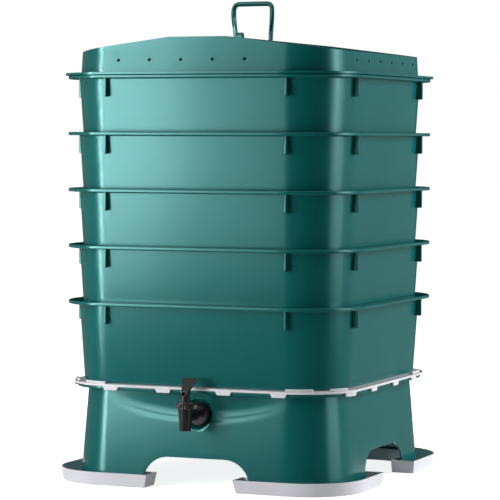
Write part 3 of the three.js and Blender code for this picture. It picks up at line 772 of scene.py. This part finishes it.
def collector():
    lower = rows(foot_level, smile_level, LOWER_SHARES)
    upper = rows(smile_level, lambda n: FLANGE_LOW, UPPER_SHARES)
    places = [
        wall_at(lambda n: SUMP_TOP - SUMP_THICK, BASE_WALL),
        wall_at(foot_level, BASE_WALL),
        wall_at(foot_level), *[wall_at(row) for row in lower + upper],
        flat_ring(FLANGE_HALF, FLANGE_LOW), flat_ring(FLANGE_HALF, BASE_TOP),
        flat_ring(BASE_TOP_HALF - BASE_WALL, BASE_TOP),
        *[wall_at(row, BASE_WALL) for row in reversed(upper[::3])],
        wall_at(lambda n: min(smile_level(n) - 2, SUMP_TOP + 10), BASE_WALL),
        wall_at(lambda n: SUMP_TOP, BASE_WALL),
    ]
    bm = closed_skin(len(BASE_PLAN), places)
    soften(bm, 0.8, 2, 55)
    return bored(bm, TAP_BORE, (0, -PANEL_REACH - 4, TAP_Z), (0, -PANEL_REACH + 6, TAP_Z), 32)


dress(collector(), "collector", green, "base", "collector_base")

# %% [markdown]
# The lid is a low wall with a gabled roof and a flat ridge. The wall is run up past the
# roof, and three flat cuts then give the roof its slopes, each leaving a hole that one
# face fills. The inside is the same shape drawn in by the wall's thickness.

# %% The lid's shell
LID_LOW = level("lid", "low")
LID_HALF = half_width("lid")
RIM_TOP = level("working_tray_5", "high")
LID_SEAT = RIM_TOP + 0.3
LID_WALL_LOW = LID_SEAT + 2.8
LID_FOOT_HALF = 183.7
LID_TOP_HALF = 182.2
LID_WALL = 2.5
LID_SIDE_TOP = LID_WALL_LOW + 25.4
RIDGE = LID_SIDE_TOP + 18.0
RIDGE_HALF = 38.0
SKIRT_HALF = TRAY_TOP - TRAY_WALL - 0.8


def cut_roof(bm, drop):
    """Cuts a closed-sided skin to the roof, lowered by a drop, and fills each cut."""
    slope = math.atan2(RIDGE - LID_SIDE_TOP, LID_TOP_HALF - RIDGE_HALF)
    for way in (0, -1, 1):
        point = (way * RIDGE_HALF, 0, RIDGE - drop)
        normal = (math.sin(way * slope), 0, math.cos(way * slope))
        geom = bm.verts[:] + bm.edges[:] + bm.faces[:]
        made = bmesh.ops.bisect_plane(bm, geom=geom, dist=0.001, plane_co=point, plane_no=normal,
                                      clear_outer=True)["geom_cut"]
        edges = [e for e in made if isinstance(e, bmesh.types.BMEdge) and len(e.link_faces) == 1]
        bmesh.ops.edgeloop_fill(bm, edges=edges)


def lid_skin(profile, drop):
    """A skin from a profile of reach and level, roofed over, open below."""
    bm, _ = ring_skin(len(PLAN), [wall_ring(half, z) for half, z in profile])
    cut_roof(bm, drop)
    return bm


def lid_shell():
    outside = lid_skin([
        (SKIRT_HALF - 1, LID_LOW), (SKIRT_HALF, LID_SEAT), (LID_HALF, LID_SEAT),
        (LID_HALF, LID_WALL_LOW), (LID_FOOT_HALF, LID_WALL_LOW), (LID_TOP_HALF, LID_SIDE_TOP),
        (LID_TOP_HALF, RIDGE + 10),
    ], 0.0)
    inside = lid_skin([
        (SKIRT_HALF - 1 - LID_WALL, LID_LOW), (SKIRT_HALF - LID_WALL, LID_SEAT),
        (LID_TOP_HALF - LID_WALL, LID_SIDE_TOP), (LID_TOP_HALF - LID_WALL, RIDGE + 10),
    ], LID_WALL)
    add_into(outside, inside)
    bmesh.ops.bridge_loops(outside, edges=[e for e in outside.edges if len(e.link_faces) == 1])
    outward(outside)
    soften(outside, 1.2, 3, 20)
    return outside


# %% [markdown]
# On the ridge stand a broad ear for the handle's left foot and a thin tongue for its
# forked right foot, both with round tops. They are plates from an arc, drilled along the
# hinge's axis. Small round vents run along the walls, six at the sides and five at the
# front and back, where the row stops short at the right.

# %% The lid with its ears and vents
HINGE = level("lid_handle", "low") + 6.5
EAR_SPAN = (-21.55, -14.15)
TONGUE_SPAN = (23.7, 25.3)
VENT_Z = LID_WALL_LOW + 15.2
VENT_PITCH = 42.5
VENT_RADIUS = 2.0
VENT_END = LID_HALF - 150.0


def ear(span, half_depth, bore):
    """A plate with a round top and a bore at the hinge, between two places along X."""
    bm = bmesh.new()
    round_top = arc(0, HINGE, half_depth, 0, 180, 14)
    outline = [(half_depth, RIDGE - 1), *round_top, (-half_depth, RIDGE - 1)]
    plate(bm, outline, -span[1], -span[0], side_turn(1))
    outward(bm)
    soften(bm, 0.4, 2, 50)
    return bored(bm, bore, (span[0] - 1, 0, HINGE), (span[1] + 1, 0, HINGE))


def lid():
    drills = bmesh.new()
    for i in range(6):
        place = (i - 2.5) * VENT_PITCH
        for near, far in ((-LID_HALF, -VENT_END), (VENT_END, LID_HALF)):
            rod(drills, VENT_RADIUS, (near, place, VENT_Z), (far, place, VENT_Z), 12)
            if i < 5:
                rod(drills, VENT_RADIUS, (place, near, VENT_Z), (place, far, VENT_Z), 12)
    bm = drill(lid_shell(), drills)
    add_into(bm, ear(EAR_SPAN, 4.2, 1.9))
    add_into(bm, ear(TONGUE_SPAN, 2.5, 1.5))
    return bm


dress(lid(), "lid_shell", green, "lid", "lid")

# %% [markdown]
# The bail handle is a square strap that was bent and twisted while warm: the left leg
# bulges out near its top and comes in again to its foot, the right one is nearly straight,
# and past the feet the strap turns an edge to the front. A ring of sixteen vertices is the
# strap's section. It is extruded from point to point and turns as it rises.

# %% The handle
HANDLE_TOP = level("lid_handle", "high")
HANDLE_FOOT = level("lid_handle", "low")
STRAP = 5.0
STRAP_CORNER = 0.9
STRAP_TWIST = math.radians(45)
FOOT_PLACE = 24.5


def handle_path():
    """The middle line of the strap, from the left foot over the top to the right foot."""
    top = HANDLE_TOP - STRAP * 0.64
    left = [(-FOOT_PLACE, HANDLE_FOOT), (-24.6, HINGE), (-25.2, HINGE + 7), (-26.3, HINGE + 15),
            (-27.2, HINGE + 23), (-27.4, HINGE + 29), (-27.1, HINGE + 33.5)]
    over = [(-26.2, top - 4.4), (-24.3, top - 1.6), (-21.0, top - 0.1), (-12, top - 0.1), (0, top),
            (12, top), (19.5, top), (22.9, top - 0.7), (25.0, top - 2.6), (26.1, top - 5.6)]
    right = [(26.3, top - 10), (26.0, HINGE + 20), (25.2, HINGE + 8), (FOOT_PLACE, HINGE),
             (FOOT_PLACE, HANDLE_FOOT)]
    return left + over + right


def strap_section():
    """Sixteen points round a square with round corners, across and along Y."""
    corners = []
    inner = STRAP / 2 - STRAP_CORNER
    for turn in range(4):
        cx, cy = ((inner, inner), (-inner, inner), (-inner, -inner), (inner, -inner))[turn]
        corners += arc(cx, cy, STRAP_CORNER, 90 * turn, 90 * turn + 90, 3)
    return [Vector(point) for point in corners]


def lid_handle():
    path = [Vector((x, 0, z)) for x, z in handle_path()]
    section = strap_section()
    places = []
    for i, point in enumerate(path):
        ahead = (path[min(i + 1, len(path) - 1)] - path[max(i - 1, 0)]).normalized()
        across = ahead.cross(Vector((0, 1, 0)))
        rise = (point.z - HINGE) / (HANDLE_TOP - HINGE)
        swell = 1 + 0.12 * math.exp(-(((rise - 0.62) / 0.2) ** 2)) if point.x < 0 else 1.0
        twist = Matrix.Rotation(STRAP_TWIST * smooth(0.16, 0.5, rise), 2) * swell
        ring = [twist @ corner for corner in section]
        places.append(lambda n, p=point, a=across, r=ring: p + a * r[n].x + Vector((0, r[n].y, 0)))
    bm = closed_skin(len(section), places)
    slot = bmesh.new()
    near, far = FOOT_PLACE - 1, FOOT_PLACE + 1
    fork = [(near, HANDLE_FOOT - 3), (far, HANDLE_FOOT - 3), (far, HINGE + 2.6),
            (FOOT_PLACE, HINGE + 3.1), (near, HINGE + 2.6)]
    plate(slot, fork, -5, 5)
    outward(slot)
    bm = drill(bm, slot)
    pins = bmesh.new()
    rod(pins, 1.5, (-FOOT_PLACE, 0, HINGE), (-15.9, 0, HINGE), 20)
    rod(pins, 1.1, (22.6, 0, HINGE), (26.4, 0, HINGE), 20)
    soften(pins, 0.3, 2)
    add_into(bm, pins)
    return bm


dress(lid_handle(), "handle", green, "handle", "lid_handle")

# %% [markdown]
# A saucer stands under each leg, and the water in it keeps ants away. It is an L-shaped
# trough with a large round corner: the outline of the L is one ring, drawn up and out to
# the rim, in by the wall and down to the floor. The four are quarter turns of one shape.

# %% The foot saucers
SAUCER_HEIGHT = level("foot_saucer_front_right", "high")
SAUCER_FLARE = 2.5
SAUCER_HALF = LID_HALF - SAUCER_FLARE
SAUCER_CORNER = 72.0
SAUCER_TROUGH = 29.5
SAUCER_INNER_CORNER = 62.0
SAUCER_END = 61.5
SAUCER_SLANT = 4.0
SAUCER_WALL = 2.0
CORNER_STEPS = 18
SAUCER_STATIONS = 2 * (CORNER_STEPS + 3)


def quarter_line(half, radius, end):
    """A line from the front side's end, round the corner, to the right side's end."""
    core = half - radius
    corner = [(core + x, -core + y) for x, y in arc(0, 0, radius, -90, 0, CORNER_STEPS)]
    return [(end, -half), *corner, (half, -end)]


def saucer_ring(inset, z):
    """The outline of the L at a level, drawn in by an inset."""
    rise = z / SAUCER_HEIGHT
    end = SAUCER_END - SAUCER_SLANT * rise + inset
    flare = SAUCER_FLARE * rise - inset
    outer = quarter_line(SAUCER_HALF + flare, SAUCER_CORNER + flare, end)
    inner = quarter_line(SAUCER_HALF - SAUCER_TROUGH + inset, SAUCER_INNER_CORNER + inset, end)
    outline = outer + inner[::-1]
    return lambda n: Vector((*outline[n], z))


def saucer():
    places = [saucer_ring(0, 0), saucer_ring(0, SAUCER_HEIGHT),
              saucer_ring(SAUCER_WALL, SAUCER_HEIGHT), saucer_ring(SAUCER_WALL, SAUCER_WALL)]
    bm = closed_skin(SAUCER_STATIONS, places)
    soften(bm, 0.6, 2, 45)
    return bm


for side, corner in enumerate(("front_right", "back_right", "back_left", "front_left")):
    bm = saucer()
    bmesh.ops.transform(bm, matrix=side_turn(side), verts=bm.verts)
    dress(bm, f"saucer_{corner}", white, "foot_saucers", f"foot_saucer_{corner}")

# %% [markdown]
# Everything round in the tap is turned: half a section is drawn as a chain of edges and
# spun a full turn. The tap stands in front of the wall, so its pieces are spun round the
# barrel's upright axis or round the shank, which points at the wall.

# %% Turned pieces
TAP_Y = (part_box("tap_lever_pin")[0].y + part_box("tap_lever_pin")[1].y) / 2 / MM - stack_y / MM
BARREL_LOW = level("tap_body", "low")
COLLAR_LOW = level("tap_collar", "low")
COLLAR_TOP = COLLAR_LOW + 7.9
NECK_TOP = level("tap_collar", "high")


def turned(profile, along_y=False, steps=48):
    """A body spun from pairs of radius and height, round the barrel's or the shank's axis."""
    bm = bmesh.new()
    verts = [bm.verts.new((radius, 0, height)) for radius, height in profile]
    edges = [bm.edges.new(pair) for pair in zip(verts, verts[1:])]
    bmesh.ops.spin(bm, geom=verts + edges, cent=(0, 0, 0), axis=(0, 0, 1), angle=2 * math.pi,
                   steps=steps, use_merge=True)
    place = Matrix.Translation((0, TAP_Y, 0))
    if along_y:
        place = Matrix.Translation((0, TAP_Y, TAP_Z)) @ Matrix.Rotation(-math.pi / 2, 4, "X")
    bmesh.ops.transform(bm, matrix=place, verts=bm.verts)
    outward(bm)
    return bm


print("tap axis y", round(TAP_Y, 2), "shank z", round(TAP_Z, 2))

# %% [markdown]
# The tap's body is a tapered barrel with a hollow spout and a shank that carries a domed
# flange. The flange presses the washer to the wall, and the shank goes through it with a
# thread for the nut. The chamber is drilled out of the shank, so the two run into one.

# %% The tap's body
WALL_AT = -PANEL_REACH - TAP_Y
BARREL_TOP = COLLAR_LOW - 0.3


def dome(inner, outer, start, depth, steps=10):
    """A domed flange from its throat to its rim, as pairs of radius and distance."""
    turns = [math.pi / 2 * i / steps for i in range(steps + 1)]
    return [(inner + (outer - inner) * math.sin(t), start + depth * (1 - math.cos(t))) for t in turns]


def thread(radius, start, end, pitch=1.6, depth=0.6):
    """A thread's profile between two distances along the shank."""
    count = int((end - start) / pitch)
    points = []
    for i in range(count):
        points += [(radius, start + i * pitch), (radius - depth, start + (i + 0.5) * pitch)]
    return points + [(radius, start + count * pitch)]


def tap_body():
    seat = TAP_Z - 4.5
    barrel = turned([
        (4.5, BARREL_LOW), (7.05, BARREL_LOW), (8.95, BARREL_TOP), (7.7, BARREL_TOP),
        (7.7, BARREL_TOP + 6.2), (6.6, BARREL_TOP + 6.2), (6.6, seat), (4.5, seat), (4.5, BARREL_LOW),
    ])
    soften(barrel, 0.45, 2, 50)
    back = WALL_AT - 2.6
    shank = turned([
        (0, 0), (7, 0), (7, back - 13), *dome(7, 15.4, back - 12, 10)[1:], (15.4, back),
        (8, back), *thread(8, WALL_AT + 1, WALL_AT + 15.5), (7.4, WALL_AT + 16),
        (4, WALL_AT + 16), (4, 14), (0, 14),
    ], along_y=True)
    shank = bored(shank, 6.6, (0, TAP_Y, BARREL_LOW - 5), (0, TAP_Y, BARREL_TOP + 10), 48)
    add_into(shank, barrel)
    return shank


dress(tap_body(), "tap_barrel", black, "base", "tap_body")

# %% [markdown]
# The collar screws onto the barrel and is fluted for the fingers. A ring skin makes it:
# the rings of the grip reach out in waves, and the others are plain circles.

# %% The tap's collar
FLUTES = 22
FLUTE_STATIONS = FLUTES * 8


def round_ring(radius, z, waves=0.0):
    """A ring round the barrel's axis, drawn in by waves."""

    def place(number):
        angle = 2 * math.pi * number / FLUTE_STATIONS
        reach = radius - waves * (0.5 - 0.5 * math.cos(FLUTES * angle)) ** 0.6
        return Vector((reach * math.cos(angle), TAP_Y + reach * math.sin(angle), z))

    return place


def tap_collar():
    bore, stem_bore, plate_z = 8.0, 2.4, BARREL_TOP + 6.5
    profile = [
        (bore, COLLAR_LOW), (10.4, COLLAR_LOW), (11.0, COLLAR_LOW + 0.5),
        (11.15, COLLAR_LOW + 1.4, 0.75), (11.15, COLLAR_TOP - 1.6, 0.75), (11.1, COLLAR_TOP - 0.9),
        (10.9, COLLAR_TOP - 0.3), (10.3, COLLAR_TOP), (6.6, COLLAR_TOP), (5.95, COLLAR_TOP + 0.7),
        (5.85, NECK_TOP - 0.6), (5.3, NECK_TOP), (stem_bore, NECK_TOP), (stem_bore, plate_z),
        (bore, plate_z),
    ]
    return looped_skin(FLUTE_STATIONS, [round_ring(*row) for row in profile])


dress(tap_collar(), "tap_cap", black, "base", "tap_collar")

# %% [markdown]
# The lever is a thumb paddle: a stout foot round its pin that flares into a fan and leans
# back over the collar. It is a column of rectangular rings, then its edges are rounded
# and the slot for the stem and the eye for the pin are cut.

# %% The tap's lever
LEVER_LOW = level("tap_lever", "low")
LEVER_TOP = level("tap_lever", "high")
PIN_Z = (level("tap_lever_pin", "low") + level("tap_lever_pin", "high")) / 2
LEVER_NECK = 5.0
LEVER_FOOT_HALF = 5.0
LEVER_TOP_HALF = 11.5
LEVER_DEPTH = 4.4
LEVER_LEAN = 18.0
LEVER_TIP = 4.0


def lever_row(z):
    """A rectangle of the lever at a level, from its half width, front and back."""
    rise = max((z - LEVER_LOW - LEVER_NECK) / (LEVER_TOP - LEVER_LOW - LEVER_NECK), 0)
    half = LEVER_FOOT_HALF + (LEVER_TOP_HALF - LEVER_FOOT_HALF) * rise ** 1.6
    front = -LEVER_DEPTH + (LEVER_LEAN - LEVER_TIP + LEVER_DEPTH) * rise
    back = LEVER_DEPTH + (LEVER_LEAN - LEVER_DEPTH) * rise
    corners = [(-half, front), (half, front), (half, back), (-half, back)]
    return lambda n: Vector((corners[n][0], TAP_Y + corners[n][1], z))


def tap_lever():
    heights = [0, *range(5, 18, 2), LEVER_TOP - LEVER_LOW]
    bm = closed_skin(4, [lever_row(LEVER_LOW + height) for height in heights])
    soften(bm, 0.9, 3, 50)
    wide, sweep = 2.4, 3.4
    for low, high, near, far in ((LEVER_LOW - 5, PIN_Z + 0.8, -8, wide),
                                 (PIN_Z - sweep, PIN_Z + 2.6, -wide, sweep),
                                 (PIN_Z, PIN_Z + sweep, -1.6, sweep)):
        cut = bmesh.new()
        plate(cut, [(-wide, low), (wide, low), (wide, high), (-wide, high)], TAP_Y + near, TAP_Y + far)
        outward(cut)
        bm = drill(bm, cut)
    return bored(bm, 1.6, (-8, TAP_Y, PIN_Z), (8, TAP_Y, PIN_Z))


dress(tap_lever(), "lever", black, "tap_lever", "tap_lever")

# %% [markdown]
# The last parts of the tap are hidden while it is whole: the pin, the stem with its eye,
# the rubber plug on the seat, a washer on each side of the wall and the nut. They are
# turned or drilled like the rest, because the exploded poses and the inside show them.

# %% The tap's inner parts
def pin():
    bm = bmesh.new()
    rod(bm, 1.2, (-4.6, TAP_Y, PIN_Z), (4.6, TAP_Y, PIN_Z), 24)
    soften(bm, 0.25, 2)
    return bm


def stem():
    low, high = level("tap_stem", "low"), level("tap_stem", "high")
    bm = turned([(0, low), (2, low), (2, high - 0.5), (1.5, high), (0, high)], steps=24)
    return bored(bm, 1.5, (-5, TAP_Y, PIN_Z), (5, TAP_Y, PIN_Z))


def plug():
    low = level("tap_seat_plug", "low")
    return turned([(0, low), (5.4, low), (6, low + 0.6), (6, low + 3), (3.6, low + 3.6),
                   (3.6, low + 7.6), (3.2, low + 8), (2.3, low + 8), (2.3, low + 4), (0, low + 4)])


def washer(start):
    return turned([(TAP_BORE, start), (12.6, start), (13, start + 0.5), (13, start + 1.5),
                   (12.6, start + 2), (TAP_BORE, start + 2), (TAP_BORE, start)], along_y=True)


def nut(start):
    bm = bmesh.new()
    plate(bm, arc(0, TAP_Z, 14, 0, 300, 5), TAP_Y + start, TAP_Y + start + 7)
    outward(bm)
    soften(bm, 0.8, 2)
    return bored(bm, TAP_BORE, (0, TAP_Y + start - 2, TAP_Z), (0, TAP_Y + start + 9, TAP_Z), 32)


dress(pin(), "lever_pin", black, "tap_stem", "tap_lever_pin")
dress(stem(), "stem", black, "tap_stem", "tap_stem")
dress(plug(), "seat_plug", rubber, "tap_stem", "tap_seat_plug")
dress(washer(WALL_AT - 2.3), "outer_washer", rubber, "base", "tap_outer_washer")
dress(washer(WALL_AT + 3.3), "inner_washer", rubber, "base", "tap_inner_washer")
dress(nut(WALL_AT + 5.6), "lock_nut", black, "base", "tap_lock_nut")

# %% [markdown]
# The floor is plain and pale. To the camera and in reflections it glows a little by its
# own colour, more and more with the distance from the stack, so that it meets the white
# room without an edge. Close to the stack the glow is weak and the shadow shows.

# %% The floor
floor_bm = bmesh.new()
bmesh.ops.create_grid(floor_bm, x_segments=8, y_segments=8, size=14.0)
floor = link_mesh(floor_bm, "floor")
floor.location.z = -0.0005


def seen_ray(tree):
    """1 for rays from the camera and for reflected and refracted rays, else 0."""
    path = add_node(tree, "LightPath", {})
    most = path.outputs["Is Camera Ray"]
    for kind in ("Is Glossy Ray", "Is Transmission Ray"):
        larger = add_node(tree, "Math", {0: most, 1: path.outputs[kind]})
        larger.operation = "MAXIMUM"
        most = larger.outputs["Value"]
    return most


def far_glow(tree, near, far, weak, full):
    """A glow that grows with the distance from the middle of the floor."""
    places = add_node(tree, "TexCoord", {}).outputs["Object"]
    length = add_node(tree, "VectorMath", {0: places})
    length.operation = "LENGTH"
    node = spread(tree, length.outputs["Value"], near, far, weak, full)
    node.interpolation_type = "SMOOTHSTEP"
    return node.outputs["Result"]


pale, pale_tree, pale_shader = new_material("pale_floor")
glow = add_node(pale_tree, "Math", {0: seen_ray(pale_tree), 1: far_glow(pale_tree, 0.25, 0.9, 0.84, 1.0)})
glow.operation = "MULTIPLY"
set_inputs(pale_tree, pale_shader, {
    "Base Color": (0.72, 0.72, 0.72, 1),
    "Roughness": 0.9,
    "Specular IOR Level": 0.0,
    "Emission Color": (1, 1, 1, 1),
    "Emission Strength": glow.outputs["Value"],
})
floor.data.materials.append(pale)
print("floor", floor.name)

# %% [markdown]
# The room is white to the camera and in reflections, and gives a low even light to the
# object. Black and grey flags keep that white out of most reflections, as on a real product
# set: each is a strip of the floor and of a round screen far out. Only reflected rays meet
# them, so they take no light from the object and throw no shadow.

# %% World and flags
world = bpy.data.worlds.new("studio")
bpy.context.scene.world = world
world.use_nodes = True
world_tree = world.node_tree
backdrop = world_tree.nodes["Background"]
light = spread(world_tree, seen_ray(world_tree), 0.0, 1.0, 0.13, 1.0)
set_inputs(world_tree, backdrop, {"Color": (1, 1, 1, 1), "Strength": light.outputs["Result"]})


FLAG_ROWS = [(0.35, 0.001), (3.2, 0.001), (3.2, 3.0)]


def flag(name, start, end, tone):
    """A sheet round the stack between two azimuths, through the rows of reach and level."""
    bm = bmesh.new()
    steps = max(int(abs(end - start) / 6), 2)
    last = len(FLAG_ROWS) - 1
    made = bmesh.ops.create_grid(bm, x_segments=steps, y_segments=last, size=1.0)["verts"]
    for vert in made:
        angle = math.radians(start + (end - start) * (vert.co.x + 1) / 2)
        reach, z = FLAG_ROWS[round((vert.co.y + 1) / 2 * last)]
        vert.co = (reach * math.sin(angle), -reach * math.cos(angle), z)
    obj = link_mesh(bm, name)
    for kind in ("camera", "diffuse", "transmission", "volume_scatter", "shadow"):
        setattr(obj, "visible_" + kind, False)
    material, tree, shader = new_material(name)
    set_inputs(tree, shader, {
        "Base Color": (0, 0, 0, 1), "Specular IOR Level": 0.0,
        "Emission Color": (1, 1, 1, 1), "Emission Strength": tone,
    })
    obj.data.materials.append(material)


flag("left_black_flag", -190, -130, 0.0)
flag("left_grey_flag", -130, -72, 0.22)
flag("black_flag", -72, 95, 0.0)
flag("grey_flag", 95, 170, 0.24)

# %% [markdown]
# The key lamp is small and stands low at the front left, for the tap's shadow. A soft box
# near the upper left corner, with a small one below it and a larger panel, gives the sheen
# that fades to the lower right. Two tall lamps draw the bright line down the right corner
# and a thin one the line down the left corner. A broad one behind at the right lights the
# right side, and a top lamp lights the roof and the rims.

# %% Lamps
def lamp(name, azimuth, distance, height, size, power, aim, glossy=True, diffuse=True):
    """A rectangular lamp at an azimuth from the front, towards +X, aimed at a point."""
    data = bpy.data.lights.new(name, "AREA")
    data.shape = "RECTANGLE"
    data.size, data.size_y = size
    data.energy = power
    obj = bpy.data.objects.new(name, data)
    bpy.context.scene.collection.objects.link(obj)
    angle = math.radians(azimuth)
    place = Vector((math.sin(angle) * distance, -math.cos(angle) * distance, height))
    way = Vector(aim) - place
    obj.matrix_world = Matrix.Translation(place) @ way.to_track_quat("-Z", "Y").to_matrix().to_4x4()
    obj.visible_camera = False
    obj.visible_glossy = glossy
    obj.visible_diffuse = diffuse


lamp("key", -28, 2.6, 0.22, (0.14, 0.14), 11, (0, 0, 0.2), glossy=False)
lamp("soft_box", -32.9, 1.012, 0.455, (0.40, 0.43), 3.5, (-0.1, -0.15, 0.43))
lamp("low_box", -34.0, 1.012, 0.18, (0.36, 0.16), 0.7, (-0.1, -0.15, 0.18))
lamp("soft_panel", -26.5, 1.0, 0.41, (0.66, 0.60), 2.5, (0, -0.15, 0.38))
lamp("left_line", -51, 1.3, 0.5, (0.07, 1.4), 12.5, (0, 0, 0.3), diffuse=False)
lamp("right_line", 92, 1.6, 0.5, (0.85, 1.6), 8.5, (0, 0, 0.3), diffuse=False)
lamp("right_core", 90, 1.55, 0.73, (0.30, 0.92), 3.2, (0, 0, 0.3), diffuse=False)
lamp("right_broad", 122, 2.2, 0.8, (1.2, 1.4), 74, (0, 0, 0.3), glossy=False)
lamp("top", -42, 2.2, 2.5, (1.4, 1.4), 12, (0, 0, 0.3))
